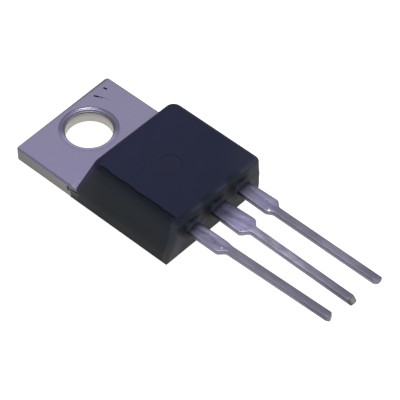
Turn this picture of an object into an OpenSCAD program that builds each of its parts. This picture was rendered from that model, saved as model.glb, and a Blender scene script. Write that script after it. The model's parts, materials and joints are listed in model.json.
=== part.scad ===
// Silicon controlled rectifier in a three-lead tab package, in millimetres.
// It lies on its back. The origin is the axis of the mounting hole at the back face.
// +X runs across the tab, +Y to the free edge of the tab and +Z to the marked face.

/* [Package] */
// Width of the tab and of the foot of the body
pkg_w = 9.9; // [9.7:0.1:10.4]
// Height of the marked face above the back face
pkg_h = 4.35; // [4.2:0.05:4.8]

// Middle line of the package from the axis of the hole
mid_x = -0.13; // [-0.2:0.01:0.2]

/* [Tab] */
// Thickness of the header plate
tab_t = 1.1; // [1.05:0.05:1.4]
// Hole axis to the free edge of the tab
tab_edge = 2.7; // [2.6:0.1:3.2]
// How much further the sheared free edge reaches on the gate's side
edge_skew = 0.22; // [0:0.01:0.3]
// Radius of the two free corners of the tab
tab_corner_r = 0.2; // [0.1:0.1:1]
// Diameter of the mounting hole
hole_d = 3.6; // [3.4:0.1:4]
// Radius that rounds the mouth of the hole
rim_r = 0.3; // [0.15:0.05:0.4]
// Width of the shallow coined ring outside that radius
coin_w = 0.2; // [0.1:0.05:0.25]
// Depth of the coined ring
coin_d = 0.08; // [0.04:0.01:0.12]

/* [Header under the body] */
// Width of the plate that shows in the back of the body
pad_w = 7.9; // [7:0.1:8.4]
// Free edge of the tab to the inner end of that plate
pad_len = 12.3; // [12:0.1:12.6]
// Width of the step that the moulding grips
lock_w = 0.4; // [0.2:0.05:0.5]
// Height of the step above the back face
lock_h = 0.45; // [0.3:0.05:0.6]
// Hole axis to the notches in the sides of the tab
notch_at = 3; // [2.8:0.1:3.3]
// Thickness of the lip that stays over each notch
lip_t = 0.3; // [0.2:0.05:0.4]
// Length of that lip inside the body
lip_in = 0.15; // [0.1:0.05:0.3]

/* [Body] */
// Hole axis to the foot of the wall on the tab side
body_near = 3.45; // [3.4:0.05:3.8]
// Hole axis to the foot of the wall on the lead side
body_far = 12.6; // [12.4:0.05:12.8]
// Lean of each long side between the tab's top and the marked face
side_lean = 0.55; // [0.2:0.05:0.8]
// Lean of the wall on the tab side
near_lean = 1.1; // [0.3:0.05:1.3]
// How far the wall on the lead side stands out at the leads
far_bulge = 0.45; // [0.2:0.05:0.6]
// How far it stands out at the marked face
far_top = 0.55; // [0.2:0.05:0.7]
// Radius of the body's edges
edge_r = 0.45; // [0.2:0.05:0.6]
// Diameter of the round ejector mark in the marked face
mark_d = 1.8; // [1:0.1:2.5]
// Depth of the ejector mark
mark_t = 0.04; // [0.02:0.01:0.1]
// Offset of the ejector mark from the middle, across the body
mark_x = -0.55; // [-1:0.05:1]

/* [Leads] */
// Pitch of the leads
pitch = 2.54; // [2.42:0.02:2.66]
// Middle of the leads' thickness above the back face
lead_z = 2.35; // [2.2:0.05:2.6]
// Thickness of the leads
lead_t = 0.42; // [0.36:0.02:0.56]
// Width of the long thin part of each lead
lead_w = 0.7; // [0.64:0.02:0.88]
// Hole axis to the tip of the anode lead
tip_at = 25.7; // [24.5:0.1:27]
// How much longer each lead is than its neighbour on the cathode's side
tip_step = 0.12; // [0:0.01:0.2]
// Foot of the body to the shoulders of the leads
shoulder = 3.2; // [2.6:0.1:3.8]
// Length of the taper at each shoulder
taper = 0.45; // [0.2:0.05:0.8]
// Corner cut off each side of a tip
tip_cut = 0.1; // [0.05:0.05:0.25]

/* [Cathode lead] */
// Width of the wide part where it leaves the body
cathode_wide = 1.2; // [1:0.02:1.5]
// Widening of that part on its way to the shoulder
cathode_flare = 0.04; // [0:0.02:0.2]
// Sideways offset of the wide part from the pitch line
cathode_wide_x = -0.06; // [-0.15:0.01:0.15]
// Sideways offset of the thin part at the shoulder
cathode_thin_x = 0.14; // [-0.15:0.01:0.2]
// Sideways offset of the bent lead at its tip
cathode_tip_x = 0.38; // [-0.5:0.02:0.5]

/* [Anode lead] */
// Width of the wide part where it leaves the body
anode_wide = 1.52; // [1.1:0.02:1.7]
// Widening of that part on its way to the shoulder
anode_flare = 0.24; // [0:0.02:0.3]
// Sideways offset of the wide part from the middle
anode_wide_x = 0.05; // [-0.1:0.01:0.1]
// Sideways offset of the thin part at the shoulder
anode_thin_x = 0.1; // [-0.15:0.01:0.15]
// Sideways offset of the lead at its tip
anode_tip_x = -0.03; // [-0.5:0.01:0.5]
// Length over which the lead steps down to the header
step_run = 0.9; // [0.6:0.05:1]

/* [Gate lead] */
// Width of the wide part where it leaves the body
gate_wide = 1.24; // [1:0.02:1.5]
// Widening of that part on its way to the shoulder
gate_flare = 0.18; // [0:0.02:0.2]
// Sideways offset of the wide part from the pitch line
gate_wide_x = 0.11; // [-0.15:0.01:0.15]
// Sideways offset of the thin part at the shoulder
gate_thin_x = 0.04; // [-0.15:0.01:0.15]
// Sideways offset of the lead at its tip
gate_tip_x = 0; // [-0.5:0.01:0.5]

/* [Bond posts] */
// Length of the posts along the package
post_l = 1.6; // [1.2:0.1:1.8]
// Moulding between the posts and the foot of the lead side
post_cover = 0.5; // [0.3:0.1:0.8]
// Width of the cathode post
cathode_post = 2.4; // [1.8:0.1:2.6]
// Width of the gate post
gate_post = 1.8; // [1.4:0.1:2.4]
// How far both posts sit outside the pitch lines
post_out = 0.3; // [0.1:0.05:0.5]

/* [Chip] */
// Side of the square chip
chip_w = 4; // [2.5:0.1:5]
// Thickness of the chip
chip_t = 0.3; // [0.2:0.05:0.4]
// Hole axis to the middle of the chip
chip_at = 6.7; // [6.5:0.1:7]
// Thickness of the solder under the chip
solder_t = 0.06; // [0.04:0.01:0.1]
// Solder that shows round the chip
solder_edge = 0.12; // [0.05:0.01:0.3]

/* [Bond wires] */
// Diameter of the two cathode wires
heavy_d = 0.38; // [0.25:0.01:0.5]
// Diameter of the gate wire
thin_d = 0.2; // [0.12:0.01:0.3]
// Spacing of the cathode wires
heavy_pitch = 0.9; // [0.75:0.05:1.1]
// Offset of the cathode wires from the middle of the chip
heavy_x = -0.9; // [-1:0.05:-0.6]
// Offset of the gate wire from the middle of the chip
thin_x = 0.9; // [0.6:0.05:0.95]
// Chip's middle to the wire feet on it
feet_y = 0.7; // [0.2:0.05:0.8]
// Rise of each wire above the line between its feet
loop_rise = 0.8; // [0.5:0.05:1]
// Length of a wire's flattened foot
foot_l = 0.7; // [0.5:0.05:0.8]

/* [Hidden] */
$fn = 64;

disc_t = 0.02;      // thickness of the discs that the body's form is drawn through
cut = 1;            // how far a cutter reaches past what it cuts
round_fn = 32;      // facets of the body's rounded corners

hole_r = hole_d / 2;
half_w = pkg_w / 2;
flange_w = pad_w + 2 * lock_w;
pad_end = tab_edge - pad_len;
lip_z = tab_t - lip_t;
chip_z = tab_t + solder_t;
wire_z = chip_z + chip_t;
post_z = lead_z + lead_t / 2;
post_y = -(body_far - post_cover - post_l);
shoulder_y = -(body_far + shoulder);

// Half width of the body at the height of the leads, on its leaning side
lead_half_w = half_w - side_lean * (lead_z - tab_t) / (pkg_h - tab_t);
// Distance of the lead-side wall from the hole axis at the top of the tab
far_at_tab = body_far + far_bulge * tab_t / lead_z;

// The step of the anode lead: its angle, and where it starts and ends
step_rise = lead_z + lead_t / 2 - tab_t;
step_angle = atan2(step_rise, step_run);
step_shift = lead_t * tan(step_angle / 2);
step_low = pad_end - lock_w - lead_t / 2;
step_high = step_low - step_run;

steel = [0.62, 0.60, 0.71];
moulding = [0.16, 0.17, 0.23];

// Plan of a lead from y_in inside the body to its tip. The edges run straight to
// the shoulder, taper to the thin part and follow its bend to the tip.
// side is -1 for the cathode lead, 0 for the anode lead and 1 for the gate lead.
module lead_plan(side, wide, flare, wide_x, thin_x, tip_x, y_in) {
    x = side * pitch;
    w0 = wide / 2;
    w1 = w0 + flare / 2;
    t = lead_w / 2;
    thin_y = shoulder_y - taper;
    tip_y = -tip_at - side * tip_step;
    polygon([
        [x + wide_x - w0, y_in], [x + wide_x - w0, -body_far], [x + wide_x - w1, shoulder_y],
        [x + thin_x - t, thin_y], [x + tip_x - t, tip_y + tip_cut],
        [x + tip_x - t + tip_cut, tip_y], [x + tip_x + t - tip_cut, tip_y],
        [x + tip_x + t, tip_y + tip_cut], [x + thin_x + t, thin_y],
        [x + wide_x + w1, shoulder_y], [x + wide_x + w0, -body_far], [x + wide_x + w0, y_in]
    ]);
}

// A flat outer lead with its bond post
module outer_lead(side, post, wide, flare, wide_x, thin_x, tip_x) {
    translate([mid_x, 0, lead_z - lead_t / 2]) linear_extrude(lead_t) {
        lead_plan(side, wide, flare, wide_x, thin_x, tip_x, post_y - post_l / 2);
        translate([side * (pitch + post_out) - post / 2, post_y - post_l]) square([post, post_l]);
    }
}

// Cutter for the mounting hole: bore, rounded mouth and coined ring
module hole_cutter() {
    translate([0, 0, -cut]) cylinder(r = hole_r, h = tab_t + 2 * cut);
    ring_z = tab_t - coin_d;
    rotate_extrude() difference() {
        polygon([
            [0, ring_z - rim_r], [hole_r + rim_r, ring_z - rim_r], [hole_r + rim_r, ring_z],
            [hole_r + rim_r + coin_w, tab_t], [hole_r + rim_r + coin_w, tab_t + cut], [0, tab_t + cut]
        ]);
        translate([hole_r + rim_r, ring_z - rim_r]) circle(rim_r);
    }
}

// Tab with its two free corners rounded. The free edge is a little out of square.
module tab_plan() {
    inner = half_w - tab_corner_r;
    low = tab_edge - edge_skew / 2 - tab_corner_r;
    high = tab_edge + edge_skew / 2 - tab_corner_r;
    tilt = atan2(high - low, 2 * inner);
    reach = tab_corner_r * [-sin(tilt), cos(tilt)];
    polygon([
        [-half_w, -notch_at], [half_w, -notch_at], [half_w, high],
        [inner, high] + reach, [-inner, low] + reach, [-half_w, low]
    ]);
    translate([-inner, low]) circle(tab_corner_r);
    translate([inner, high]) circle(tab_corner_r);
}

// Side view of the anode lead's step from the header plate up to the leads' plane
module step_profile() {
    polygon([
        [step_high - lead_t, lead_z - lead_t / 2], [step_high, lead_z - lead_t / 2],
        [step_low, tab_t - lead_t], [pad_end, tab_t - lead_t], [pad_end, tab_t],
        [step_low + step_shift, tab_t], [step_high + step_shift, lead_z + lead_t / 2],
        [step_high - lead_t, lead_z + lead_t / 2]
    ]);
}

module header_and_anode_lead() color(steel) difference() {
    translate([mid_x, 0, 0]) {
        linear_extrude(tab_t) tab_plan();
        translate([-pad_w / 2, pad_end, 0]) cube([pad_w, -notch_at - pad_end, tab_t]);
        translate([-flange_w / 2, pad_end - lock_w, lock_h])
            cube([flange_w, lock_w - notch_at - pad_end, tab_t - lock_h]);
        translate([-half_w, -body_near - lip_in, lip_z])
            cube([pkg_w, body_near + lip_in - notch_at, lip_t]);
        translate([anode_wide_x - anode_wide / 2, 0, 0]) rotate([90, 0, 90])
            linear_extrude(anode_wide) step_profile();
        translate([0, 0, lead_z - lead_t / 2]) linear_extrude(lead_t)
            lead_plan(0, anode_wide, anode_flare, anode_wide_x, anode_thin_x, anode_tip_x, step_high);
    }
    hole_cutter();
}

module cathode_lead() color(steel)
    outer_lead(-1, cathode_post, cathode_wide, cathode_flare, cathode_wide_x, cathode_thin_x,
        cathode_tip_x);

module gate_lead() color(steel)
    outer_lead(1, gate_post, gate_wide, gate_flare, gate_wide_x, gate_thin_x, gate_tip_x);

module solder_layer() color("silver") {
    side = chip_w + 2 * solder_edge;
    translate([mid_x - side / 2, -chip_at - side / 2, tab_t]) cube([side, side, solder_t]);
}

module silicon_die() color("dimgray")
    translate([mid_x - chip_w / 2, -chip_at - chip_w / 2, chip_z]) cube([chip_w, chip_w, chip_t]);

// Round wire bent in one arc between two flattened feet. from and to are where the
// feet stand, as [x, y, z] of the surface under them.
module bond_wire(from, to, d) {
    foot_w = 1.3 * d;
    foot_t = 0.6 * d;
    run = norm([to[0] - from[0], to[1] - from[1]]);
    climb = to[2] - from[2];
    chord = norm([run, climb]);
    arc_r = chord * chord / (8 * loop_rise) + loop_rise / 2;
    half = asin(chord / (2 * arc_r));
    slope = atan2(climb, run);
    mid_u = run / 2 + (arc_r - loop_rise) * sin(slope);
    mid_v = climb / 2 - (arc_r - loop_rise) * cos(slope);
    heading = atan2(to[1] - from[1], to[0] - from[0]);
    translate([from[0], from[1], from[2]]) rotate(heading) {
        translate([mid_u, 0, mid_v + d / 2]) rotate([90, 0, 0])
            rotate(90 + slope - half) rotate_extrude(angle = 2 * half)
                translate([arc_r, 0]) circle(d / 2);
        for (foot = [[0, 0], [run, climb]])
            translate([foot[0] - foot_l / 2, -foot_w / 2, foot[1]]) cube([foot_l, foot_w, foot_t]);
    }
}

// A cathode wire; side is -1 for the outer wire and 1 for the inner one
module cathode_wire(side) {
    offset_x = side * heavy_pitch / 2;
    bond_wire(
        [mid_x + heavy_x + offset_x, -chip_at - feet_y, wire_z],
        [mid_x - pitch - post_out + offset_x, post_y - post_l / 2, post_z],
        heavy_d
    );
}

module cathode_wire_a() color("gainsboro") cathode_wire(-1);

module cathode_wire_b() color("gainsboro") cathode_wire(1);

module gate_wire() color("gainsboro")
    bond_wire(
        [mid_x + thin_x, -chip_at - feet_y, wire_z],
        [mid_x + pitch + post_out, post_y - post_l / 2, post_z],
        thin_d
    );

// One disc of the body's outline, at both sides, touching x and y from inside.
// end is -1 on the lead side and 1 on the tab side.
module outline_discs(x, y, z, end) {
    for (side = [-1, 1]) translate([mid_x + side * (x - edge_r), y - end * edge_r, z])
        cylinder(r = edge_r, h = disc_t, $fn = round_fn);
}

module outline_balls(x, y, end) {
    for (side = [-1, 1]) translate([mid_x + side * (x - edge_r), y - end * edge_r, pkg_h - edge_r])
        sphere(edge_r, $fn = round_fn);
}

// The moulding's outer form: upright to the tab's top, then leaning in on three
// sides. The lead side stands out to the parting line at the leads.
module body_form() hull() {
    top_w = half_w - side_lean;
    outline_discs(half_w, -body_near, 0, 1);
    outline_discs(half_w, -body_near, tab_t - disc_t, 1);
    outline_discs(half_w, -body_far, 0, -1);
    outline_discs(half_w, -far_at_tab, tab_t - disc_t, -1);
    outline_discs(lead_half_w, -body_far - far_bulge, lead_z - disc_t / 2, -1);
    outline_balls(top_w, -body_near - near_lean, 1);
    outline_balls(top_w, -body_far - far_top, -1);
}

// Moulding that fills the tab's side notches under the lip
module notch_fill() {
    for (side = [0, 1]) translate([mid_x, 0, 0]) mirror([side, 0, 0])
        translate([pad_w / 2, -body_near - lip_in, 0])
            cube([half_w - pad_w / 2, body_near + lip_in - notch_at, lip_z]);
}

module moulded_body() color(moulding) difference() {
    union() {
        body_form();
        notch_fill();
    }
    header_and_anode_lead();
    cathode_lead();
    gate_lead();
    solder_layer();
    silicon_die();
    cathode_wire_a();
    cathode_wire_b();
    gate_wire();
    mark_y = -(body_near + near_lean + body_far + far_top) / 2;
    translate([mid_x + mark_x, mark_y, pkg_h - mark_t]) cylinder(d = mark_d, h = mark_t + cut);
}

header_and_anode_lead();
moulded_body();
cathode_lead();
gate_lead();
solder_layer();
silicon_die();
cathode_wire_a();
cathode_wire_b();
gate_wire();
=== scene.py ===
# %% [markdown]
# # A silicon controlled rectifier in a three-lead tab package
#
# The real part is made on a copper lead frame. The thick plate that carries the chip is
# also the tab and the middle lead, and a dark epoxy body is moulded round it. Two thinner
# leads leave the same end of the body. Everything that shows is then plated with matt tin.
#
# The solids that hold the true sizes are loaded first. This lesson dresses them: it makes
# a refined mesh for each piece that can be seen, gives every piece a finish, and lights it.

import json
import math

import bmesh
import bpy
import numpy as np
from mathutils import Matrix, Vector

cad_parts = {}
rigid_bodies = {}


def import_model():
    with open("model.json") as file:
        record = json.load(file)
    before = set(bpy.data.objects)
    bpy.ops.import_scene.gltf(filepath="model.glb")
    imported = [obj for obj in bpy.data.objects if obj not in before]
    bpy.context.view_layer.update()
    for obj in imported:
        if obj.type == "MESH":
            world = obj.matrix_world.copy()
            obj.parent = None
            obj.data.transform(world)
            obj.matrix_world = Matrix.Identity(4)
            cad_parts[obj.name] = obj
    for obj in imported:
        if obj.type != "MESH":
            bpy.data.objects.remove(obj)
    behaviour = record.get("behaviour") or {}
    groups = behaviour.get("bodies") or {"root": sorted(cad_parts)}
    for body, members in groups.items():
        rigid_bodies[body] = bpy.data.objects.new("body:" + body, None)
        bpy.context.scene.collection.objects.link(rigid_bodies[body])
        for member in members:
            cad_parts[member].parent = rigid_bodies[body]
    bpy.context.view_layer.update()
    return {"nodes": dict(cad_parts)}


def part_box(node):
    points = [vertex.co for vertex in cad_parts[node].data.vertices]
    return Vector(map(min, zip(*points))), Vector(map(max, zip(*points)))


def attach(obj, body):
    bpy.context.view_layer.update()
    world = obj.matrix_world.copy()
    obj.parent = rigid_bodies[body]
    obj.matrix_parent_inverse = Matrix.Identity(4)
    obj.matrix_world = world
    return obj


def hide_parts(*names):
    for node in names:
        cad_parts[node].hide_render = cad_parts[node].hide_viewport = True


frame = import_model()
MM = 0.001
print("nodes:", ", ".join(sorted(frame["nodes"])))

# %% [markdown]
# ## Reading the sizes off the solids
#
# The dressed pieces have to sit exactly where the solids are. So the main planes are read
# from the solids' boxes, in millimetres, and only what a box can't tell is written here.
# The origin is the axis of the mounting hole at the back face. X runs across the tab, Y
# towards the tab's free edge and Z up to the marked face.

# %% Planes that the boxes give
def box_mm(node):
    low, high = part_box(node)
    return np.array(low) / MM, np.array(high) / MM


body_low, body_high = box_mm("moulded_body")
header_low, header_high = box_mm("header_and_anode_lead")
cathode_low, cathode_high = box_mm("cathode_lead")
gate_low, gate_high = box_mm("gate_lead")
solder_low, _ = box_mm("solder_layer")

middle_x = (body_low[0] + body_high[0]) / 2
package_w = body_high[0] - body_low[0]
package_h = body_high[2]
half_w = package_w / 2
left, right = middle_x - half_w, middle_x + half_w
tab_t = solder_low[2]
notch_y = body_high[1]
lead_t = cathode_high[2] - cathode_low[2]
lead_z = (cathode_high[2] + cathode_low[2]) / 2
print(f"package {package_w:.2f} x {package_h:.2f} mm, tab {tab_t:.2f} mm, lead plane {lead_z:.2f} mm")

# %% [markdown]
# A box tells nothing about holes, leans and roundings, so those sizes are named here, in
# millimetres. First come the tab and the pad that the chip sits on: the punched and coined
# hole, the free edge that was sheared a little out of square, and the steps and notches
# that the epoxy grips.

# %% Sizes of the tab and the pad
hole_r = 1.8
rim_r = 0.12
coin_flat = 0.13
coin_slope = 0.17
coin_d = 0.08
coin_r = hole_r + rim_r + coin_flat + coin_slope
edge_skew = 0.22
free_edge = header_high[1] - edge_skew / 2
tab_corner_r = 0.28
tab_roll = 0.07
pad_w = 7.9
pad_end = -9.6
lock_w = 0.4
lock_h = 0.45
lip_t = 0.3
notch_slant = 0.15
print(f"hole {2 * hole_r:.2f} mm, coined ring {2 * coin_r:.2f} mm across")

# %% [markdown]
# The body's walls lean and bulge, and its corners are rounder towards the tab. The leads
# have a wide part up to a shoulder, then a taper and a thin part, on a standard pitch.

# %% Sizes of the body and the leads
body_near = -3.45
lip_end = body_near - 0.5
near_corner_r = 0.42
near_corner_more = 0.35
body_far = -12.6
far_bulge = 0.45
side_lean = 0.55
near_lean = 1.1
near_top = body_near - near_lean
edge_r = 0.45
far_top = -body_low[1] + body_far
mark_r = 0.9
mark_t = 0.04
mark_x = middle_x - 0.55
mark_y = (near_top + body_far - far_top) / 2
pitch = 2.54
shoulder_y = -15.8
taper = 0.45
lead_w = 0.7
lead_edge_r = 0.09
tip_edge = 0.08
step_run = 0.9
print(f"leads on a {pitch} mm pitch, {body_far - cathode_low[1]:.2f} mm long outside the body")

# %% [markdown]
# ## Helpers for the meshes
#
# Every form here could be modelled by hand with Blender's tools, but points worked out from
# sizes can be changed later without starting again. `finish_piece` turns points in
# millimetres into an object, and `loft` joins closed rings of points into a tube with two
# ends, which suits a cast body as well as a rolled strip.

# %% Points into pieces
def finish_piece(name, points, faces):
    mesh = bpy.data.meshes.new(name)
    mesh.from_pydata([tuple(np.array(p) * MM) for p in points], [], faces)
    mesh.validate()
    bm = bmesh.new()
    bm.from_mesh(mesh)
    bmesh.ops.remove_doubles(bm, verts=bm.verts, dist=1e-7)
    bmesh.ops.recalc_face_normals(bm, faces=bm.faces)
    bm.to_mesh(mesh)
    bm.free()
    piece = bpy.data.objects.new(name, mesh)
    bpy.context.scene.collection.objects.link(piece)
    return piece


def loft(name, rings):
    count = len(rings[0])
    points = [p for ring in rings for p in ring]
    faces = []
    for k in range(len(rings) - 1):
        a, b = k * count, (k + 1) * count
        for i in range(count):
            j = (i + 1) % count
            faces.append((a + i, a + j, b + j, b + i))
    faces.append(tuple(reversed(range(count))))
    last = (len(rings) - 1) * count
    faces.append(tuple(range(last, last + count)))
    return finish_piece(name, points, faces)


# %% [markdown]
# A few plain forms are lofts too. They serve as cutters and as the parts of a piece that
# the body hides: a box, a form turned round the hole's axis, and the arcs that round a
# corner.

# %% Plain forms
def box(name, x, y, z):
    outline = [(x[0], y[0]), (x[1], y[0]), (x[1], y[1]), (x[0], y[1])]
    return loft(name, [[(px, py, pz) for px, py in outline] for pz in z])


def lathe(name, profile, steps=128):
    rings = []
    for r, z in profile:
        angles = np.linspace(0, 2 * math.pi, steps, endpoint=False)
        rings.append([(r * math.cos(a), r * math.sin(a), z) for a in angles])
    return loft(name, rings)


def arc(centre, radius, start, end, steps):
    angles = np.radians(np.linspace(start, end, steps + 1))
    return [(centre[0] + radius * math.cos(a), centre[1] + radius * math.sin(a)) for a in angles]


# %% [markdown]
# The real pieces are punched, joined and moulded round each other, so the exact boolean is
# the closest tool: it cuts and joins true volumes, and the body gets the very faces of the
# metal that it was cast round. Each result is applied at once and leaves a plain mesh.

# %% Cutting and joining
def apply_modifiers(piece):
    bpy.context.view_layer.update()
    seen = piece.evaluated_get(bpy.context.evaluated_depsgraph_get())
    mesh = bpy.data.meshes.new_from_object(seen)
    piece.modifiers.clear()
    piece.data = mesh


def combine(piece, other, operation, keep=False):
    modifier = piece.modifiers.new(operation.lower(), "BOOLEAN")
    modifier.operation = operation
    modifier.solver = "EXACT"
    modifier.object = other
    apply_modifiers(piece)
    if not keep:
        bpy.data.objects.remove(other)


# %% [markdown]
# ## One loft for every lead
#
# Each lead is a flat strip with rounded corners. A loft suits it: a rounded rectangle is
# drawn at many stations along the lead. Its long sides carry extra points, so that the
# rolled top can sink a little between the edges.

# %% The strip's section
def rounded_section(width, height, radius, per_corner=5, per_flat=6):
    a, b = width / 2 - radius, height / 2 - radius
    points = []
    for cx, cz, start in ((a, b, 0), (-a, b, 90), (-a, -b, 180), (a, -b, 270)):
        points += arc((cx, cz), radius, start, start + 90, per_corner)
        if start in (0, 180):
            side = 1 if start == 0 else -1
            for k in range(1, per_flat):
                points.append((side * a * (1 - 2 * k / per_flat), side * height / 2))
    return points


# %% [markdown]
# The wide part ends at a shoulder, where the bar between the leads was cut away, and the
# thin part runs on to a sheared tip. The width and the middle follow the lead's two edges.
# These are straight lines whose corners are softened by averaging over a short length, as
# a worn punch softens them. The rolled top has a crease on the wide part and a crown on
# the thin part.

# %% The lead's edges and relief
edge_blur = 0.12
crease_d, wave_d, crown_d = 0.018, 0.004, 0.02
wide_from_to = ([-16.2, -15.5, -13.9, -13.2], [0, 1, 1, 0])


def soft_line(y, corners):
    """x along a line through corners of (y, x), averaged over a short length."""
    ys, xs = zip(*sorted(corners))
    spread = np.linspace(-edge_blur, edge_blur, 9)
    return float(np.mean([np.interp(y + d, ys, xs) for d in spread]))


def relief(u, y, seed):
    """How far the rolled top sinks at u, which is -1 to 1 across a lead."""
    wide = float(np.interp(y, *wide_from_to))
    crease_u = 0.2 + 0.12 * math.sin(1.9 * y + seed)
    crease = math.exp(-(((u - crease_u) / 0.28) ** 2))
    waves = 0.5 + 0.5 * math.sin(3.1 * y + 4 * u + 2 * seed) * math.sin(1.3 * y - 3 * u + seed)
    return wide * (crease_d * crease + wave_d * waves) * (1 - u**4) + (1 - wide) * crown_d * u**4


# %% [markdown]
# The end of a sheared strip isn't a plain cut. Rings that shrink towards the middle close
# it, and a small function of the place on the cut says how far each spot lies back. The
# stations are close together at the shoulder, where the edges bend.

# %% Rings along a lead
tip_steps = ((1, 1), (0.985, 0.62), (0.945, 0.29), (0.885, 0.08), (0.81, 0), (0.5, 0), (0.2, 0))


def lead_stations(y_start, y_tip):
    bend_from, bend_to = shoulder_y + 0.3, shoulder_y - taper - 0.3
    near = np.linspace(y_start, bend_from, 36)
    bend = np.linspace(bend_from, bend_to, 29)[1:]
    thin = np.linspace(bend_to, y_tip + 0.6, 44)[1:]
    return np.concatenate([near, bend, thin])


def tip_rings(ring, y_tip, form):
    """Close a lead. form(u, v) is how far the cut lies back, at u across and v up, -1 to 1."""
    points = np.array(ring)
    middle = (points.max(axis=0) + points.min(axis=0)) / 2
    half = (points.max(axis=0) - points.min(axis=0)) / 2
    rings = []
    for size, back in tip_steps:
        made = []
        for x, _, z in points:
            u, v = size * (x - middle[0]) / half[0], size * (z - middle[2]) / half[2]
            y = y_tip + tip_edge * back + form(u, v)
            made.append((middle[0] + u * half[0], y, middle[2] + v * half[2]))
        rings.append(made)
    return rings


def lead_rings(pitch_x, y_start, y_tip, wide, flare, wide_x, thin_x, tip_x, form):
    w0, w1, t = wide / 2, wide / 2 + flare / 2, lead_w / 2
    edges = []
    for side in (-1, 1):
        edges.append([
            (y_start + 1, pitch_x + wide_x + side * w0),
            (body_far, pitch_x + wide_x + side * w0),
            (shoulder_y, pitch_x + wide_x + side * w1),
            (shoulder_y - taper, pitch_x + thin_x + side * t),
            (y_tip - 1, pitch_x + tip_x + side * t),
        ])
    rings = []
    for y in lead_stations(y_start, y_tip):
        x0, x1 = (soft_line(y, corners) for corners in edges)
        width, middle = x1 - x0, (x0 + x1) / 2
        ring = []
        for x, z in rounded_section(width, lead_t, lead_edge_r, 5, 14):
            sunk = relief(2 * x / width, y, pitch_x) if z > 0 else 0
            ring.append((middle + x, y, lead_z + z - sunk))
        rings.append(ring)
    return rings + tip_rings(rings[-1], y_tip, form)


# %% [markdown]
# The leads were cropped one after another, so each tip has its own form: one is cut on the
# slant, one has its upper edge pushed back and one has a rounded corner. They also don't
# run quite straight, and their wide parts aren't alike. So each lead has a few sizes of
# its own, in millimetres: width, flare at the shoulder, and the sideways place of its parts.

# %% What sets each lead apart
def slanted_tip(u, v):
    return 0.17 * (1 + u) + 0.7 * max(0, -u - 0.3) ** 1.5 + 0.03 * (1 + v)


def pushed_tip(u, v):
    return 0.18 * (1 + v) + 0.06 * u**2


def rounded_tip(u, v):
    return 0.3 * max(0, -u) ** 2.5 + 0.1 * max(0, u) ** 3 + 0.08 * max(0, -v) ** 2


cathode_shape = dict(wide=1.2, flare=0.04, wide_x=-0.06, thin_x=0.14, tip_x=0.38, form=slanted_tip)
anode_shape = dict(wide=1.52, flare=0.24, wide_x=0.05, thin_x=0.1, tip_x=-0.03, form=pushed_tip)
gate_shape = dict(wide=1.24, flare=0.18, wide_x=0.11, thin_x=0.04, tip_x=0.0, form=rounded_tip)
print("wide parts:", cathode_shape["wide"], anode_shape["wide"], gate_shape["wide"], "mm")

# %% [markdown]
# The outer leads end in a wider bond post inside the body, where the wires land. The posts
# don't show, so plain boxes do for them.

# %% Make the two outer leads
post_l = 1.6


def outer_lead(name, side, low, high, shape):
    post_y = high[1] - post_l
    lead = loft(name, lead_rings(middle_x + side * pitch, post_y, low[1], **shape))
    post = box(name + "_post", (low[0], high[0]), (post_y, high[1]), (low[2], high[2]))
    combine(lead, post, "UNION")
    return lead


cathode = outer_lead("cathode_lead_tinned", -1, cathode_low, cathode_high, cathode_shape)
gate = outer_lead("gate_lead_tinned", 1, gate_low, gate_high, gate_shape)
print("leads:", len(cathode.data.polygons), len(gate.data.polygons), "faces")

# %% [markdown]
# ## The header: tab, pad and anode lead
#
# The header is one piece of copper: the tab, the pad under the chip and the middle lead.
# Its tab is stamped, and its borders are slightly rolled over by the press and the
# plating. So the tab is drawn as rings that pull in at the top and the bottom.

# %% Rings of the tab
def tab_ring(inset, z):
    inner, corner = half_w - tab_corner_r, tab_corner_r - inset
    low = free_edge - edge_skew / 2 - tab_corner_r
    high = free_edge + edge_skew / 2 - tab_corner_r
    points = [(left + inset, lip_end), (right - inset, lip_end)]
    points += arc((middle_x + inner, high), corner, 0, 90, 8)
    points += arc((middle_x - inner, low), corner, 90, 180, 8)
    return [(x, y, z) for x, y in points]


def tab_rings():
    rings = []
    for a in np.radians(np.linspace(0, 90, 6)):
        rings.append(tab_ring(tab_roll * (1 - math.sin(a)), tab_roll * (1 - math.cos(a))))
    for a in np.radians(np.linspace(0, 90, 6)):
        inset, below = tab_roll * (1 - math.cos(a)), tab_roll * (1 - math.sin(a))
        rings.append(tab_ring(inset, tab_t - below))
    return rings


# %% [markdown]
# The notches at the tab's sides were sheared on a slant from the back face, and a thin lip
# of metal stays over each. The lip thins, rounds over and dips a little into the body. A
# cutter with a slanted wall makes the notch, and a small loft of its own makes the lip.

# %% Notch and lip
lip_edge_r = 0.13
lip_pull = 0.16
lip_dip = 0.06


def lip_rings(side):
    rings = []
    for y in np.linspace(notch_y + 0.35, lip_end, 12):
        gone = max(0, (notch_y - y) / (notch_y - lip_end))
        reach, inner = half_w - lip_pull * gone**1.5, pad_w / 2 - 0.3
        middle = middle_x + side * (reach + inner) / 2
        high = tab_t - lip_t / 2 - lip_dip * gone
        section = rounded_section(reach - inner, lip_t, lip_edge_r, 6, 4)
        rings.append([(middle + side * x, y, high + z) for x, z in section])
    return rings


def notch_cutter(x):
    levels = [(-1, notch_slant), (0, notch_slant), (tab_t - lip_t, 0), (tab_t + 1, 0)]
    rings = []
    for z, slant in levels:
        low, high = lip_end - 1, notch_y - slant
        rings.append([(x[0], low, z), (x[1], low, z), (x[1], high, z), (x[0], high, z)])
    return loft("notch", rings)


# %% [markdown]
# Under the body the plate gets narrower, with a step on its sides that the epoxy grips.
# Those parts are hidden, so boxes do, joined to the tab one by one.

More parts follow.
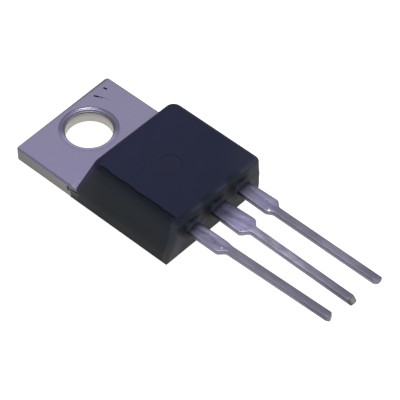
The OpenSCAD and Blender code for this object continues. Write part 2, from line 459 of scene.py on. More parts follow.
# %% Join the tab, the lips and the pad
overlap = 0.4
header = loft("header_tinned", tab_rings())
for side in (-1, 1):
    x = sorted((middle_x + side * pad_w / 2, middle_x + side * (half_w + 1)))
    combine(header, notch_cutter(x), "DIFFERENCE")
    combine(header, loft("lip", lip_rings(side)), "UNION")
pad_x = (middle_x - pad_w / 2, middle_x + pad_w / 2)
grip_x = (pad_x[0] - lock_w, pad_x[1] + lock_w)
grip_y = notch_y - 0.2
combine(header, box("pad", pad_x, (pad_end, notch_y + overlap), (0, tab_t)), "UNION")
combine(header, box("grip", grip_x, (pad_end - lock_w, grip_y), (lock_h, tab_t)), "UNION")
print("header so far:", len(header.data.polygons), "faces")

# %% [markdown]
# The middle lead leaves the pad low down and steps up inside the body to the plane of the
# other two. Seen from the side the step is a bent strip, so that outline is pushed across
# the strip's width. The shift keeps the strip as thick on the slope as on its level parts.

# %% Add the step and the anode lead
step_half_w = 0.76
step_x = middle_x + 0.05
step_low = pad_end - lock_w - lead_t / 2
step_high = step_low - step_run
lead_top, lead_bottom = lead_z + lead_t / 2, lead_z - lead_t / 2
step_shift = lead_t * math.tan(math.atan2(lead_top - tab_t, step_run) / 2)
side_view = [
    (step_high - lead_t, lead_bottom), (step_high, lead_bottom),
    (step_low, tab_t - lead_t), (pad_end, tab_t - lead_t), (pad_end, tab_t),
    (step_low + step_shift, tab_t), (step_high + step_shift, lead_top),
    (step_high - lead_t, lead_top),
]
step_ends = [[(step_x + side * step_half_w, y, z) for y, z in side_view] for side in (-1, 1)]
combine(header, loft("step", step_ends), "UNION")
anode_rings = lead_rings(middle_x, step_high, header_low[1], **anode_shape)
combine(header, loft("anode", anode_rings), "UNION")

# %% [markdown]
# The mounting hole is punched, and its mouth is then coined: a shallow ring round it, then
# a rounded lip into the bore. All of that is one profile turned round the hole's axis, and
# taken out of the plate in one cut.

# %% Cut the hole
bottom_break = 0.05


def hole_profile():
    ring_z = tab_t - coin_d
    lip_r = hole_r + rim_r
    points = [(hole_r + bottom_break, -0.5), (hole_r + bottom_break, 0), (hole_r, bottom_break)]
    for a in np.radians(np.linspace(180, 90, 8)):
        points.append((lip_r + rim_r * math.cos(a), ring_z - rim_r + rim_r * math.sin(a)))
    for share in (0, 0.25, 0.5, 0.75, 1):
        rise = (1 - math.cos(math.pi * share)) / 2
        points.append((lip_r + coin_flat + coin_slope * share, ring_z + coin_d * rise))
    return points + [(coin_r, tab_t + 0.5)]


combine(header, lathe("hole", hole_profile()), "DIFFERENCE")
print("header:", len(header.data.polygons), "faces")

# %% [markdown]
# ## The moulded body
#
# The body is cast in a two-part mould that closes at the leads, so its walls lean away
# from the parting plane. The same rule draws it here: each wall has one profile, seen end
# on, and each profile ends in the radius of the top edge.

# %% Profiles of the walls
def wall_profile(corners, top_out):
    """Points (out, z) of a wall, its straight runs ending tangent to the top edge's arc."""
    cx, cz = top_out - edge_r, package_h - edge_r
    x0, z0 = corners[-1]
    reach = math.hypot(x0 - cx, z0 - cz)
    bearing = math.atan2(z0 - cz, x0 - cx)
    touch = bearing + math.acos(min(1, edge_r / reach))
    turns = np.linspace(touch, math.pi / 2, 14)
    return corners + [(cx + edge_r * math.cos(a), cz + edge_r * math.sin(a)) for a in turns]


far_at_tab = -body_far + far_bulge * tab_t / lead_z
far_corners = [(-body_far, 0), (far_at_tab, tab_t), (-body_far + far_bulge, lead_z)]
side_wall = wall_profile([(half_w, 0), (half_w, tab_t)], half_w - side_lean)
near_wall = wall_profile([(body_near, 0), (body_near, tab_t)], near_top)
far_wall = wall_profile(far_corners, far_top - body_far)
print("points per wall:", len(side_wall), len(near_wall), len(far_wall))

# %% [markdown]
# Cut level by level, the body is a rounded rectangle. Its sides come from the profiles.
# Its corners are nearly sharp at the foot and rounder higher up, and at the very top they
# narrow into the top edge's radius.

# %% One level of the body
far_corner_z = [0, tab_t, lead_z, 3.5, package_h]
far_corner_r = [0.06, 0.38, 0.52, 0.42, 0.3]
foot_corner_r = 0.04
top_arc_z = package_h - edge_r


def wall_at(profile, z):
    outs, heights = zip(*profile)
    return float(np.interp(z, heights, outs))


def level(z):
    radius = edge_r
    if z > top_arc_z:
        radius = math.sqrt(max(0, edge_r**2 - (z - package_h + edge_r) ** 2))
    radius = max(radius, 0.01)
    more = float(np.interp(z, [tab_t, package_h], [0, near_corner_more]))
    near_r = foot_corner_r if z <= tab_t - lip_t else min(radius, near_corner_r) + more
    far_r = min(radius, float(np.interp(z, far_corner_z, far_corner_r)))
    w, near, far = wall_at(side_wall, z), wall_at(near_wall, z), -wall_at(far_wall, z)
    corners = [
        (w - near_r, near - near_r, near_r, 0), (near_r - w, near - near_r, near_r, 90),
        (far_r - w, far + far_r, far_r, 180), (w - far_r, far + far_r, far_r, 270),
    ]
    points = []
    for x, y, corner, start in corners:
        points += arc((middle_x + x, y), corner, start, start + 90, 8)
    return [(x, y, z) for x, y in points]


# %% [markdown]
# The levels lie closest where the form changes most. The epoxy also fills the notches
# under the lips, an ejector pin left a shallow round mark in the top, and the metal pieces
# are cut out of the body, so that they fit in it as cast.

# %% Make the body
heights = [0, 0.03, 0.3, 0.6, tab_t - lip_t, tab_t - lip_t + 0.03, tab_t, 1.5, 1.9]
heights += [lead_z, 2.7, 3.1, 3.5]
heights += [top_arc_z + edge_r * math.sin(a) for a in np.radians(np.linspace(0, 90, 14))]
body = loft("body_moulded", [level(z) for z in heights])
for side in (-1, 1):
    x = sorted((middle_x + side * pad_w / 2, middle_x + side * half_w))
    combine(body, box("fill", x, (lip_end, notch_y), (0, tab_t - lip_t)), "UNION")
mark_z = package_h - mark_t
mark = lathe("mark", [(mark_r - 0.02, mark_z), (mark_r, mark_z + 0.02), (mark_r, package_h + 1)])
mark.location = (mark_x * MM, mark_y * MM, 0)
combine(body, mark, "DIFFERENCE")
for metal in (header, cathode, gate):
    combine(body, metal, "DIFFERENCE", keep=True)
print("body:", len(body.data.polygons), "faces")

# %% [markdown]
# ## Building blocks for the finishes
#
# A small class writes shader nodes in one line each, so that a recipe reads as a list of
# steps. Most steps tint a colour towards another one where all the masks are 1. A mask is
# mostly a fade between two places, since real tarnish and wear have soft borders, and so
# do the painted light and shade that many steps put in.

# %% Shader helper
class Recipe:
    def __init__(self, tree):
        self.tree = tree
        tree.nodes.clear()

    def node(self, kind, inputs=None, **settings):
        made = self.tree.nodes.new("ShaderNode" + kind)
        for key, value in settings.items():
            setattr(made, key, value)
        for key, value in (inputs or {}).items():
            self.feed(made.inputs[key], value)
        return made

    def feed(self, socket, value):
        """Link a socket, or set it. A colour is given as red, green and blue."""
        if isinstance(value, bpy.types.NodeSocket):
            self.tree.links.new(value, socket)
        elif socket.type == "RGBA":
            socket.default_value = (*value, 1)
        else:
            socket.default_value = value

    def math(self, operation, a, b=0.0, clamp=False):
        return self.node("Math", {0: a, 1: b}, operation=operation, use_clamp=clamp).outputs[0]

    def times(self, *factors):
        product = factors[0]
        for factor in factors[1:]:
            product = self.math("MULTIPLY", product, factor)
        return product

    def vector(self, operation, a, b):
        second = "Scale" if operation == "SCALE" else 1
        result = "Value" if operation in ("DISTANCE", "DOT_PRODUCT") else "Vector"
        return self.node("VectorMath", {0: a, second: b}, operation=operation).outputs[result]

    def fade(self, value, start, end):
        """0 at start, 1 at end, eased."""
        made = self.node("MapRange", {0: value, 1: start, 2: end}, interpolation_type="SMOOTHSTEP")
        return made.outputs[0]

    def band(self, value, centre, width):
        """1 on a line, easing to 0 at width to either side."""
        away = self.math("ABSOLUTE", self.math("SUBTRACT", value, centre))
        return self.fade(away, width, width * 0.25)

    def tint(self, base, tone, *masks):
        """The base colour, moved towards a tone where every mask is 1."""
        made = self.node("Mix", {0: self.times(*masks), 6: base, 7: tone}, data_type="RGBA")
        return made.outputs[2]

    def noise(self, place, scale, detail, rough=0.5):
        inputs = {"Vector": place, "Scale": scale, "Detail": detail, "Roughness": rough}
        return self.node("TexNoise", inputs).outputs[0]

    def use(self, group, **inputs):
        return self.node("Group", inputs, node_tree=group).outputs


# %% [markdown]
# Effects that more than one finish needs are node groups with named sockets. Two of them
# only read the piece: where a spot lies, in millimetres, and which way its surface faces.
# A mask made from those stays at its place on the piece, whatever the view.

# %% Groups that read the piece
def new_group(name, inputs, outputs):
    tree = bpy.data.node_groups.new(name, "ShaderNodeTree")
    for direction, sockets in (("INPUT", inputs), ("OUTPUT", outputs)):
        for label, kind in sockets.items():
            tree.interface.new_socket(label, in_out=direction, socket_type="NodeSocket" + kind)
    recipe = Recipe(tree)
    given, out = tree.nodes.new("NodeGroupInput").outputs, tree.nodes.new("NodeGroupOutput").inputs
    return tree, recipe, given, out


place_outputs = dict(Place="Vector", X="Float", Y="Float", Z="Float")
place_group, r, _, out = new_group("place in millimetres", {}, place_outputs)
scaled = r.vector("SCALE", r.node("TexCoord").outputs["Object"], 1 / MM)
apart = r.node("SeparateXYZ", {0: scaled})
r.feed(out["Place"], scaled)
for axis in "XYZ":
    r.feed(out[axis], apart.outputs[axis])

facing_group, r, _, out = new_group("facing", {}, dict(Up="Float", Across="Float", Along="Float"))
normal = r.node("SeparateXYZ", {0: r.node("TexCoord").outputs["Normal"]})
r.feed(out["Up"], r.fade(normal.outputs["Z"], 0.35, 0.65))
r.feed(out["Across"], normal.outputs["X"])
r.feed(out["Along"], normal.outputs["Y"])
print("groups:", place_group.name, "and", facing_group.name)

# %% [markdown]
# Plating and moulded epoxy are never quite even. The grain group gives soft clouds, a fine
# grain and a few specks from one noise at three sizes. Its Stretch socket draws the noise
# out along a rolled strip.

# %% Group for uneven surfaces
grain_outputs = dict(Soft="Float", Fine="Float", Specks="Float")
grain_group, r, given, out = new_group("grain", dict(Scale="Float", Stretch="Vector"), grain_outputs)
pulled = r.vector("MULTIPLY", r.use(place_group)["Place"], given["Stretch"])
r.feed(out["Soft"], r.noise(pulled, given["Scale"], 2.0))
r.feed(out["Fine"], r.noise(pulled, r.times(given["Scale"], 6.0), 4.0, 0.6))
r.feed(out["Specks"], r.fade(r.noise(pulled, r.times(given["Scale"], 2.6), 1.0), 0.66, 0.74))
print("group:", grain_group.name)

# %% [markdown]
# Scratches, pits, painted shadows and painted glints lie at known places. The stroke group
# draws one of them: a mask that is 1 near the straight way from Start to End and fades out
# at Width from it. Core is the share of the width that stays full.

# %% Group for a stroke
stroke_inputs = dict(Place="Vector", Start="Vector", End="Vector", Width="Float", Core="Float")
stroke_group, r, given, out = new_group("stroke", stroke_inputs, dict(Mask="Float"))
run = r.vector("SUBTRACT", given["End"], given["Start"])
away = r.vector("SUBTRACT", given["Place"], given["Start"])
length2 = r.math("MAXIMUM", r.vector("DOT_PRODUCT", run, run), 1e-6)
share = r.math("DIVIDE", r.vector("DOT_PRODUCT", away, run), length2, clamp=True)
gap = r.vector("DISTANCE", away, r.vector("SCALE", run, share))
r.feed(out["Mask"], r.fade(gap, given["Width"], r.times(given["Width"], given["Core"])))
print("group:", stroke_group.name)


# %% [markdown]
# Every material starts as one Principled shader and ends by feeding it what varies over
# the surface: colour, roughness and a very shallow relief.

# %% Start and end of a material
def new_material(name, **constants):
    material = bpy.data.materials.new(name)
    material.use_nodes = True
    recipe = Recipe(material.node_tree)
    shader = recipe.node("BsdfPrincipled")
    recipe.feed(recipe.node("OutputMaterial").inputs[0], shader.outputs[0])
    for key, value in constants.items():
        recipe.feed(shader.inputs[key.replace("_", " ")], value)
    return material, recipe, shader


def surface(recipe, shader, colour, rough, height, depth_mm, strength):
    bump = recipe.node("Bump", {"Strength": strength, "Distance": depth_mm * MM, "Height": height})
    recipe.feed(shader.inputs["Base Color"], colour)
    recipe.feed(shader.inputs["Roughness"], rough)
    recipe.feed(shader.inputs["Normal"], bump.outputs[0])


def strokes(recipe, place, marks, core=0.5):
    """The strongest of several strokes, each (start, end, width, strength) in millimetres."""
    total = 0.0
    for start, end, width, strength in marks:
        ends = dict(Start=start, End=end, Width=width, Core=core)
        mask = recipe.use(stroke_group, Place=place, **ends)["Mask"]
        total = recipe.math("MAXIMUM", total, recipe.times(mask, strength))
    return total


# %% [markdown]
# ## Matt tin on the tab
#
# Matt tin is a metal that scatters light softly. With Metallic at 1, the base colour is the
# colour of its reflection, so one shader does for the whole tab and only that colour
# changes. The upper face is painted a faint violet, painted light that stands for the tint
# of the overhead light, and its rolled borders carry painted reflections: grey-beige on the
# free and right borders, a dark line on the left one.

# %% Tab: the upper face
tab_tin, r, shader = new_material("matt_tin_tab", Metallic=1.0)
place, facing = r.use(place_group), r.use(facing_group)
grain = r.use(grain_group, Scale=0.7, Stretch=(1, 1, 1))
x, y, z = place["X"], place["Y"], place["Z"]
diagonal = r.math("ADD", x, y)
# Painted light: the violet of the upper face; the clouds below are the tin's own uneven tone.
top = r.tint((0.425, 0.395, 0.560), (0.430, 0.405, 0.545), r.fade(diagonal, -7.0, 4.0))
top = r.tint(top, (0.400, 0.375, 0.530), grain["Soft"], 0.25)
# Painted reflection: grey-beige on the rolled free and right borders.
free_border, right_border = r.fade(y, free_edge - 0.22, free_edge), r.fade(x, right - 0.16, right)
top = r.tint(top, (0.22, 0.212, 0.20), r.math("MAXIMUM", free_border, right_border), 0.85)
# Painted shade: a wavering dark line on the rolled left border.
wander = r.times(r.math("SUBTRACT", grain["Fine"], 0.5), 0.1)
left_edge_shade = r.band(r.math("ADD", x, wander), left + 0.09, 0.13)
top = r.tint(top, (0.17, 0.16, 0.20), left_edge_shade, 0.7)

# %% [markdown]
# Coining left one sloped ring round the hole. Its light is painted: half of it carries a
# painted highlight and half painted shade, with thin lines of painted shade along its
# borders. The distance from the hole's axis draws all of that. The lip over the left notch
# is painted darker at its end, painted shade that damps its highlight.

# %% Tab: the coined ring
from_axis = r.math("SQRT", r.math("ADD", r.times(x, x), r.times(y, y)))
far_side = r.fade(diagonal, -2.0, 1.0)
# Painted shade: a dark line at the ring's outer crease, on the far half.
outer_line = r.band(from_axis, coin_r + 0.02, 0.09)
top = r.tint(top, (0.15, 0.14, 0.19), outer_line, r.times(far_side, 0.6))
# Painted shade: a dark line at the lip, on the free side.
free_side = r.times(r.fade(r.math("SUBTRACT", y, x), -0.4, 1.4), 0.6)
top = r.tint(top, (0.12, 0.115, 0.16), r.band(from_axis, hole_r + rim_r, 0.08), free_side)
# Painted shade on the flat inside the ring, on its far half.
flat_ring = r.band(from_axis, hole_r + rim_r + 0.03, 0.2)
top = r.tint(top, (0.175, 0.172, 0.195), flat_ring, far_side)
# Painted highlight on the near half of the ring.
in_ring = r.fade(from_axis, coin_r + 0.03, coin_r - 0.02)
top = r.tint(top, (0.66, 0.61, 0.86), r.fade(diagonal, 0.2, -1.6), in_ring)
# Painted shade on the end of the left lip.
lip_end_x, lip_end_y = r.fade(x, left + 1.0, left + 0.2), r.fade(y, -2.8, -3.5)
top = r.tint(top, (0.235, 0.228, 0.30), lip_end_y, lip_end_x, 0.55)

# %% [markdown]
# The sides are painted a warmer grey than the faces: painted light, the warm bounce of the
# floor on faces turned from the overhead light. They grow paler towards the body. The bore
# is painted paler low down, a painted reflection of the bright floor, and a little lighter
# at its top on the far half, which lifts its shade there. The back face is plain bright
# tin. The mask that faces up then puts the upper face on the sides, with a soft border.

# %% Tab: sides, bore and back
# Painted light: the sides' warm grey stands for the floor's bounce.
sides = r.tint((0.143, 0.140, 0.131), (0.176, 0.166, 0.166), r.fade(y, 2.3, -2.6))
sides = r.tint(sides, (0.14, 0.137, 0.135), grain["Soft"], 0.3)
# Painted reflection: the bore paler low down, and lighter at its top on the far half.
bore = r.tint((0.345, 0.338, 0.303), (0.235, 0.232, 0.228), r.fade(z, 0.45, 0.95))
bore = r.tint(bore, (0.25, 0.245, 0.255), r.fade(z, tab_t - 0.17, tab_t - 0.07), far_side)
sides = r.tint(sides, bore, r.fade(from_axis, 2.1, 2.0))
# Lit and shaded copies of one tin: faces that turn up take the upper face's painted tone.
colour = r.tint(sides, top, facing["Up"])
colour = r.tint(colour, bore, r.fade(from_axis, hole_r + rim_r, hole_r + rim_r * 0.6))
colour = r.tint(colour, (0.40, 0.385, 0.47), r.fade(z, 0.03, 0.0))

# %% [markdown]
# Last come the damages: a pit and a scratch in the plating, and a dark nick in the left
# side. They are strokes, and they also lower the relief, so that they look cut in.

# %% Tab: damages and relief
damages = [
    ((3.82, 2.15, 1.1), (3.86, 1.98, 1.1), 0.11, 1.0),
    ((2.73, 2.11, 1.1), (2.85, 1.87, 1.1), 0.11, 1.0),
    ((2.85, 1.87, 1.1), (3.02, 1.53, 1.1), 0.07, 0.85),
    ((3.02, 1.53, 1.1), (3.2, 0.97, 1.1), 0.045, 0.4),
    ((left, -2.84, 0.9), (left, -2.84, 0.66), 0.18, 0.95),
]
marks = strokes(r, place["Place"], damages)
colour = r.tint(colour, (0.006, 0.006, 0.012), marks)
uneven = r.times(grain["Fine"], r.fade(from_axis, coin_r - 0.02, coin_r + 0.2))
polish = r.times(r.band(from_axis, coin_r - 0.05, 0.08), 0.2)
rough = r.math("SUBTRACT", r.math("ADD", 0.40, r.times(uneven, 0.12)), polish)
off_ring = r.times(r.fade(from_axis, coin_r, coin_r + 0.3), 0.15)
height = r.math("SUBTRACT", r.times(grain["Fine"], off_ring), marks)
surface(r, shader, colour, rough, height, 0.02, 0.5)
print(tab_tin.name, len(tab_tin.node_tree.nodes), "nodes")

# %% [markdown]
# ## Matt tin on the leads
#
# The leads were rolled, punched and dipped with the strip, so the tin lies on them in soft
# lengthwise ridges. The wide parts are brighter, and the thin parts darken towards their
# tips. The violet of the upward faces is painted light, the tint of the overhead light.
# The middle lead differs from the outer two, so a mask for it goes into many steps.

# %% Leads: wide and thin parts
lead_tin, r, shader = new_material("matt_tin_leads", Metallic=1.0)
place, facing = r.use(place_group), r.use(facing_group)
grain = r.use(grain_group, Scale=1.5, Stretch=(1.6, 0.55, 1))
x, y, z = place["X"], place["Y"], place["Z"]
wide = r.fade(y, shoulder_y - 0.6, shoulder_y + 0.1)
middle = r.fade(r.math("ABSOLUTE", r.math("SUBTRACT", x, middle_x)), 1.0, 0.8)
# Painted light: the violet in these tones of the upward faces.
thin = r.tint((0.315, 0.304, 0.372), (0.222, 0.213, 0.268), r.fade(y, -16.5, -25.3))
thin = r.tint(thin, (0.52, 0.50, 0.61), middle, r.fade(y, -25.0, -18.5))
pale_run = r.times(r.fade(y, -19.5, -20.5), r.fade(y, -24.8, -23.5))
thin = r.tint(thin, (0.42, 0.41, 0.50), r.fade(x, 1.0, 1.4), pale_run, 0.5)
broad = r.tint((0.405, 0.392, 0.53), (0.53, 0.51, 0.715), middle, r.fade(y, -14.4, -15.2))
top = r.tint(thin, broad, wide)
dull = r.tint((0.225, 0.22, 0.26), (0.27, 0.262, 0.37), wide)
top = r.tint(top, dull, r.fade(grain["Soft"], 0.6, 0.36), 0.55)

# %% [markdown]
# Next to the body the metal is painted dark, with a wavy border: a painted reflection of
# the dark end wall, and painted shade where the leads leave it. The middle lead is worn at
# its end and blotchy on half of its wide part. A line of painted shade runs along the
# right edge of each lead, on the faces that turn to the right.

# %% Leads: painted shade at the roots and edges, and wear
# Painted shade and reflection: the leads darken next to the body.
wavy_y = r.math("ADD", y, r.times(grain["Soft"], 0.5))
outer_root = r.times(r.fade(wavy_y, -14.1, -12.8), r.math("SUBTRACT", 1.0, middle))
middle_root = r.times(r.fade(wavy_y, -14.7, -13.3), middle)
root = r.math("ADD", outer_root, middle_root)
root_shade_tone = r.tint((0.155, 0.155, 0.225), (0.13, 0.13, 0.20), middle)
top = r.tint(top, root_shade_tone, root)
top = r.tint(top, (0.235, 0.235, 0.24), middle, r.fade(y, -25.0, -25.4), 0.8)
half_of_middle = r.times(r.fade(x, -0.3, 0.3), r.times(middle, wide))
top = r.tint(top, (0.25, 0.235, 0.39), half_of_middle, r.fade(grain["Fine"], 0.38, 0.6), 0.75)
# Painted shade on the faces that turn to the right.
top = r.tint(top, (0.11, 0.10, 0.19), r.fade(facing["Across"], 0.12, 0.5), 0.6)

# %% [markdown]
# The cut sides are darker than the rolled faces, partly their own tone and partly painted
# shade on faces turned from the overhead light, and the cropped tips show a neutral grey.
# A few specks lie on everything. Two painted glints, white in the base colour, sit on the
# sharp shoulders of the outer leads.

# %% Leads: sides, tips and glints
cut = r.tint((0.180, 0.172, 0.202), (0.215, 0.208, 0.245), middle, r.fade(y, -20.5, -17.5))
cut = r.tint(cut, (0.118, 0.114, 0.130), r.fade(x, 1.0, 0.6), r.fade(y, -22.0, -24.2))
# Painted shade on the sides next to the body.
sides = r.tint(cut, (0.06, 0.06, 0.07), root)
colour = r.tint(sides, top, facing["Up"])
cropped = r.tint((0.17, 0.17, 0.172), (0.105, 0.105, 0.104), middle)
faces_end = r.fade(r.times(facing["Along"], -1.0), 0.3, 0.7)
colour = r.tint(colour, cropped, faces_end, r.fade(y, -24.5, -25.0))
speck_share = r.math("ADD", 0.25, r.times(wide, 0.45))
colour = r.tint(colour, (0.10, 0.10, 0.16), grain["Specks"], speck_share)
# Painted highlights: two white glints on the outer leads' shoulders.
shoulder_glints = [
    ((-2.86, -15.84, 2.2), (-2.86, -15.84, 2.6), 0.1, 1.0),
    ((2.05, -15.93, 2.3), (2.05, -15.93, 2.6), 0.13, 1.0),
]
colour = r.tint(colour, (1, 1, 1), strokes(r, place["Place"], shoulder_glints))
rough = r.math("ADD", 0.36, r.times(grain["Fine"], 0.16))
height = r.math("ADD", grain["Soft"], r.times(grain["Fine"], 0.3))
surface(r, shader, colour, rough, height, 0.03, 0.4)
print(lead_tin.name, len(lead_tin.node_tree.nodes), "nodes")

# %% [markdown]
# ## Mould compound
#
# The compound is black epoxy full of ground silica. It hardly mirrors anything, so the
# specular level is low and the base colour carries the look. Its marked face reads as dark
# blue: painted light, the tint of the overhead light on the face that turns up. It is a
# little paler at one corner and in the round mark, and painted purple near the left end of
# its near edge, a painted reflection where the top rounds over.

# %% Epoxy: the marked face
compound, r, shader = new_material("mould_compound", Specular_IOR_Level=0.06)
place, facing = r.use(place_group), r.use(facing_group)
grain = r.use(grain_group, Scale=0.9, Stretch=(1, 1, 1))
x, y, z = place["X"], place["Y"], place["Z"]
# Painted light: the blue of the marked face.
top = r.tint((0.0224, 0.0266, 0.0504), (0.0267, 0.0307, 0.0622), r.fade(y, -12.8, -4.5))
top = r.tint(top, (0.0225, 0.0285, 0.0530), r.fade(grain["Soft"], 0.35, 0.7), 0.6)
top = r.tint(top, (0.033, 0.037, 0.061), r.fade(x, 1.0, 3.6), r.fade(y, -10.0, -12.4), 0.8)
# Painted reflection: purple near the left end of the near edge.
near_border = r.fade(y, near_top - 0.9, near_top - 0.1)
top = r.tint(top, (0.030, 0.022, 0.060), near_border, r.fade(x, -2.2, -4.0))
from_mark = r.vector("DISTANCE", place["Place"], (mark_x, mark_y, package_h))
top = r.tint(top, (0.033, 0.029, 0.053), r.fade(from_mark, 1.15, 0.5), 0.5)

# %% [markdown]
# The epoxy is the same black everywhere, so the walls' greys are painted light. The leaning
# walls are a neutral dark grey, painted darkest high up, where they turn into the rounding,
# and paler next to the tab. The end wall at the leads has its own greys, paler towards both
# corners and low down, where it faces the bright floor.

# %% Epoxy: painted light on the side and end walls
# Painted light and shade: the leaning walls' greys.
side = r.tint((0.0186, 0.0216, 0.0228), (0.0172, 0.0214, 0.0258), r.fade(z, 0.3, 3.0))
side = r.tint(side, (0.0102, 0.0146, 0.0232), r.fade(z, 3.0, 4.1))
side = r.tint(side, (0.0350, 0.0370, 0.0450), r.fade(y, -6.2, -4.0), 0.75)
side = r.tint(side, (0.0185, 0.0218, 0.0245), grain["Soft"], 0.3)
# Painted light: the end wall's greys, paler low down and at the corners.
end = r.tint((0.0205, 0.0230, 0.0275), (0.0240, 0.0250, 0.0262), r.fade(z, 2.9, 0.8))
right_end = r.tint((0.0330, 0.0345, 0.0400), (0.0270, 0.0280, 0.0300), r.fade(z, 3.2, 0.8))
left_end = r.tint((0.035, 0.038, 0.047), (0.043, 0.044, 0.046), r.fade(z, 2.9, 0.8))
end = r.tint(end, right_end, r.fade(x, 2.7, 3.4))
end = r.tint(end, left_end, r.fade(x, -3.3, -4.2))

# %% [markdown]
# The walls meet at rounded corners, so the walls' painted light meets there too: by the way
# the surface faces, and at the bulging end wall also by how far along the body the spot
# lies. The corner towards the tab is painted purple, a painted reflection. The epoxy that
# fills the notches lies low in the metal and is painted paler than the walls, most of all
# just under the lip: painted light that lifts the shade there.

# %% Epoxy: where the walls meet
bulge = r.times(r.math("MINIMUM", z, lead_z), far_bulge / lead_z)
corner = r.fade(r.math("ADD", y, bulge), body_far + 0.6, body_far + 0.35)
faces_end = r.fade(r.times(facing["Along"], -1.0), 0.3, 0.75)
# Painted light: the wall that faces the tab takes a bluer grey.
side = r.tint(side, (0.0210, 0.0235, 0.0350), r.fade(facing["Along"], 0.6, 0.9))
side = r.tint(side, end, r.math("MAXIMUM", corner, faces_end))
# Painted reflection: purple on the corner towards the tab.
tab_corner = r.times(r.fade(facing["Along"], 0.05, 0.5), r.fade(facing["Along"], 0.93, 0.72))
side = r.tint(side, (0.036, 0.031, 0.062), tab_corner)
# Painted light: the notch fill paler, most of all under the lip, lifting its shade.
in_notch = r.times(r.fade(z, tab_t, tab_t - 0.25), r.fade(y, body_near - 0.55, body_near - 0.1))
notch_tone = r.tint((0.048, 0.048, 0.047), (0.120, 0.119, 0.116), r.fade(z, 0.4, 0.85))
side = r.tint(side, notch_tone, in_notch)
colour = r.tint(side, top, facing["Up"])

# %% [markdown]
# Painted shadows of the leads darken the end wall up and to the left of each lead's exit.
# The shadow is drawn once, as a chain of strokes, and the place is wrapped at the leads'
# pitch to repeat it. A paler patch lies below it, just over each lead, and a painted
# highlight runs along the rounding above it.

# %% Epoxy: painted shadows round the lead exits
shadow_start = 0.6
distance = {0: r.math("SUBTRACT", x, middle_x), 1: shadow_start, 2: shadow_start - pitch}
from_lead = r.node("Math", distance, operation="WRAP").outputs[0]
wall_place = r.node("CombineXYZ", {0: from_lead, 2: z}).outputs[0]
chain = [(0.1, 3.35), (-0.5, 3.9), (-1.3, 4.1), (-1.4, 3.5), (-0.95, 2.7), (-0.35, 1.9)]
links = [((a[0], 0, a[1]), (b[0], 0, b[1]), 0.62, 1.0) for a, b in zip(chain[:-1], chain[1:])]
shadow_left, shadow_right = middle_x - pitch - 1.95, middle_x + pitch + shadow_start
# Painted shadow: each lead's shadow on the end wall.
lead_shadow = r.times(
    strokes(r, wall_place, links, 0.3),
    r.fade(x, shadow_left, shadow_left + 0.3),
    r.fade(x, shadow_right + 0.05, shadow_right - 0.25),
)
at_end = r.fade(y, body_far, body_far - 0.25)
# Painted highlight along the end wall's upper rounding.
colour = r.tint(colour, (0.045, 0.048, 0.062), r.band(z, 4.2, 0.14), at_end, 0.45)
lead_shadow_tone = r.tint((0.0036, 0.0050, 0.0092), (0.0150, 0.0175, 0.0270), r.fade(z, 3.45, 4.05))
colour = r.tint(colour, lead_shadow_tone, lead_shadow, at_end)
# A paler patch just over each lead.
pale_patch = strokes(r, wall_place, [((-0.35, 0, 2.78), (0.3, 0, 2.78), 0.62, 1.0)], 0.4)
colour = r.tint(colour, (0.0330, 0.0365, 0.0520), pale_patch, at_end)

# %% [markdown]
# A line of painted shade runs where the marked face rounds over to one long side, a painted
# dark reflection of the rounding, and it wanders a little. The other long edge carries a
# painted highlight, and the corner towards the tab is painted paler too.

# %% Epoxy: painted shade and highlight on the edges, and relief
wander = r.times(r.math("SUBTRACT", grain["Soft"], 0.5), 0.3)
wavy_x = r.math("ADD", x, wander)
left_edge, right_edge = left + side_lean, right - side_lean
high_up = r.fade(z, 3.9, 4.25)
# Painted shade where the marked face rounds over on the left.
rounding = r.times(r.fade(wavy_x, left_edge + 0.36, left_edge + 0.28), high_up)
colour = r.tint(colour, (0.0150, 0.0180, 0.0235), rounding, r.fade(y, body_far, body_far + 0.3))
edge_shade_line = r.times(
    r.band(wavy_x, left_edge + 0.35, 0.1), high_up,
    r.fade(y, body_far - 0.3, body_far + 0.1), r.fade(y, near_top - 0.55, near_top - 0.95),
)
colour = r.tint(colour, (0.0025, 0.0035, 0.0075), edge_shade_line, 0.9)
# Painted light on the corner towards the tab.
high_left = r.times(r.fade(z, 3.5, 4.0), r.fade(x, -3.5, -4.0))
colour = r.tint(colour, (0.028, 0.019, 0.052), r.fade(y, near_top - 0.9, near_top - 0.4), high_left)
# Painted highlight along the right edge.
right_edge_highlight = r.times(r.fade(x, right_edge - 0.3, right_edge), r.fade(z, 3.4, 4.0))
colour = r.tint(colour, (0.046, 0.048, 0.060), right_edge_highlight, 0.9)
rough = r.math("ADD", 0.5, r.times(grain["Fine"], 0.2))
surface(r, shader, colour, rough, grain["Fine"], 0.008, 0.7)
print(compound.name, len(compound.node_tree.nodes), "nodes")


# %% [markdown]
# ## Putting the finishes on
#
# The refined pieces now take the places of their solids. Faces are smooth-shaded, edges
# sharper than a set angle stay sharp, and weighted normals keep the large flat faces flat
# next to the small roundings. Each piece rides on the root, and its solid is hidden.

# %% Dress the refined pieces
sharp_angle = 35


def shade(piece):
    for face in piece.data.polygons:
        face.use_smooth = True
    piece.data.set_sharp_from_angle(angle=math.radians(sharp_angle))
    modifier = piece.modifiers.new("weighted", "WEIGHTED_NORMAL")
    modifier.keep_sharp = True
    modifier.weight = 100
    apply_modifiers(piece)


def dress(piece, node, material):
    shade(piece)
    piece.data.materials.clear()
    piece.data.materials.append(material)
    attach(piece, "root")
    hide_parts(node)
    print(piece.name, len(piece.data.vertices), "vertices,", len(piece.data.polygons), "faces")


dress(header, "header_and_anode_lead", tab_tin)
dress(cathode, "cathode_lead", lead_tin)
dress(gate, "gate_lead", lead_tin)
dress(body, "moulded_body", compound)

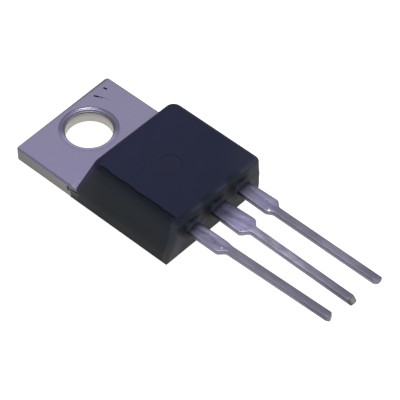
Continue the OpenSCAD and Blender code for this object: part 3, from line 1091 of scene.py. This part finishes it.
# %% [markdown]
# The header is one piece with two finishes, because its lead is finished like the other two.
# Faces inside the body and beyond it take the leads' tin, so the change doesn't show.

# %% Two finishes on the header
lead_from = body_far * MM + 0.001
header.data.materials.append(lead_tin)
for face in header.data.polygons:
    face.material_index = int(face.center.y < lead_from)
print("faces with the leads' tin:", sum(face.material_index for face in header.data.polygons))

# %% [markdown]
# ## Finishes inside the body
#
# The chip, its solder and its wires don't show until the body is taken away. Their solids
# are good enough as they are, so each only gets a material with a light and a dark tone.

# %% Dress the hidden solids
def inner(name, light, dark, metal, rough, scale):
    material, r, shader = new_material(name, Metallic=metal)
    grain = r.use(grain_group, Scale=scale, Stretch=(1, 1, 1))
    uneven = r.math("ADD", rough, r.times(grain["Fine"], 0.2))
    surface(r, shader, r.tint(light, dark, grain["Soft"]), uneven, grain["Fine"], 0.004, 0.5)
    return material


inside = {
    "solder_layer": inner("solder", (0.62, 0.62, 0.60), (0.4, 0.4, 0.39), 1.0, 0.3, 3.0),
    "silicon_die": inner("silicon", (0.16, 0.17, 0.2), (0.1, 0.11, 0.13), 0.3, 0.15, 1.5),
}
wire = inner("aluminium_wire", (0.8, 0.8, 0.79), (0.6, 0.6, 0.6), 1.0, 0.25, 5.0)
for node in ("cathode_wire_a", "cathode_wire_b", "gate_wire"):
    inside[node] = wire
for node, material in inside.items():
    solid = frame["nodes"][node]
    solid.data.materials.clear()
    solid.data.materials.append(material)
print("dressed inside:", ", ".join(inside))

# %% [markdown]
# ## Floor, light and camera
#
# The part lies on a white sheet in soft light. The sheet glows a little by itself, which
# keeps it near white without lamps so strong that they would bleach the tin. It sits a
# hair below the part, so that the two don't flicker where they touch.

# %% Floor and room light
scene = bpy.context.scene
scene.view_settings.view_transform = "Standard"
sheet = dict(Base_Color=(0.6, 0.6, 0.6), Emission_Color=(1, 0.99, 0.97), Emission_Strength=0.92)
floor_paint, _, _ = new_material("floor_paint", Roughness=0.9, Specular_IOR_Level=0.0, **sheet)
floor_mesh = bpy.data.meshes.new("floor")
floor_mesh.from_pydata([(-2, -2, 0), (2, -2, 0), (2, 2, 0), (-2, 2, 0)], [], [(0, 1, 2, 3)])
floor = bpy.data.objects.new("floor", floor_mesh)
scene.collection.objects.link(floor)
floor.data.materials.append(floor_paint)
floor.location.z = -0.00002

world = bpy.data.worlds.new("studio")
scene.world = world
world.use_nodes = True
room = world.node_tree.nodes["Background"].inputs
room[0].default_value = (0.86, 0.84, 1, 1)
room[1].default_value = 0.42
print("room light", room[1].default_value)


# %% [markdown]
# Two round lamps give the part its form: one overhead for the upper faces, and one low
# in front on the right that brightens the cut sides. Large discs keep the shadows soft.

# %% Lamps
def lamp(name, place, aim, size, power):
    light = bpy.data.lights.new(name, "AREA")
    light.shape = "DISK"
    light.size = size
    light.energy = power
    made = bpy.data.objects.new(name, light)
    made.location = place
    made.rotation_euler = (Vector(aim) - Vector(place)).to_track_quat("-Z", "Y").to_euler()
    scene.collection.objects.link(made)
    print(name, power, "W")


lamp("overhead", (0.05, 0.02, 0.6), (0, -0.01, 0), 0.25, 1.2)
lamp("front_right", (0.28, -0.45, 0.16), (0, -0.01, 0), 0.3, 1.0)

# %% [markdown]
# The camera looks down on the part from the left, beyond the leads, through a long lens
# that keeps the perspective weak. Its place is given in millimetres, and its turn by the
# directions that are right, down and ahead for it.

# %% Camera
camera_place = Vector((-78.3011593394, -81.5583090464, 119.4008532945)) * MM
to_right = Vector((0.6757387316810198, -0.7370897021122667, 0.008714215178429853))
downward = Vector((-0.5455222200165315, -0.5079969456284482, -0.6665917871534285))
ahead = Vector((0.4957647365175958, 0.4456880907902035, -0.7453720223844077))
lens = bpy.data.cameras.new("camera")
lens.sensor_width = 36
lens.lens = 198
lens.clip_start = 0.001
camera = bpy.data.objects.new("camera", lens)
turn = Matrix((to_right, -downward, -ahead)).transposed()
camera.matrix_world = Matrix.Translation(camera_place) @ turn.to_4x4()
scene.collection.objects.link(camera)
scene.camera = camera
print("camera", round(camera_place.length * 1000), "mm from the hole")
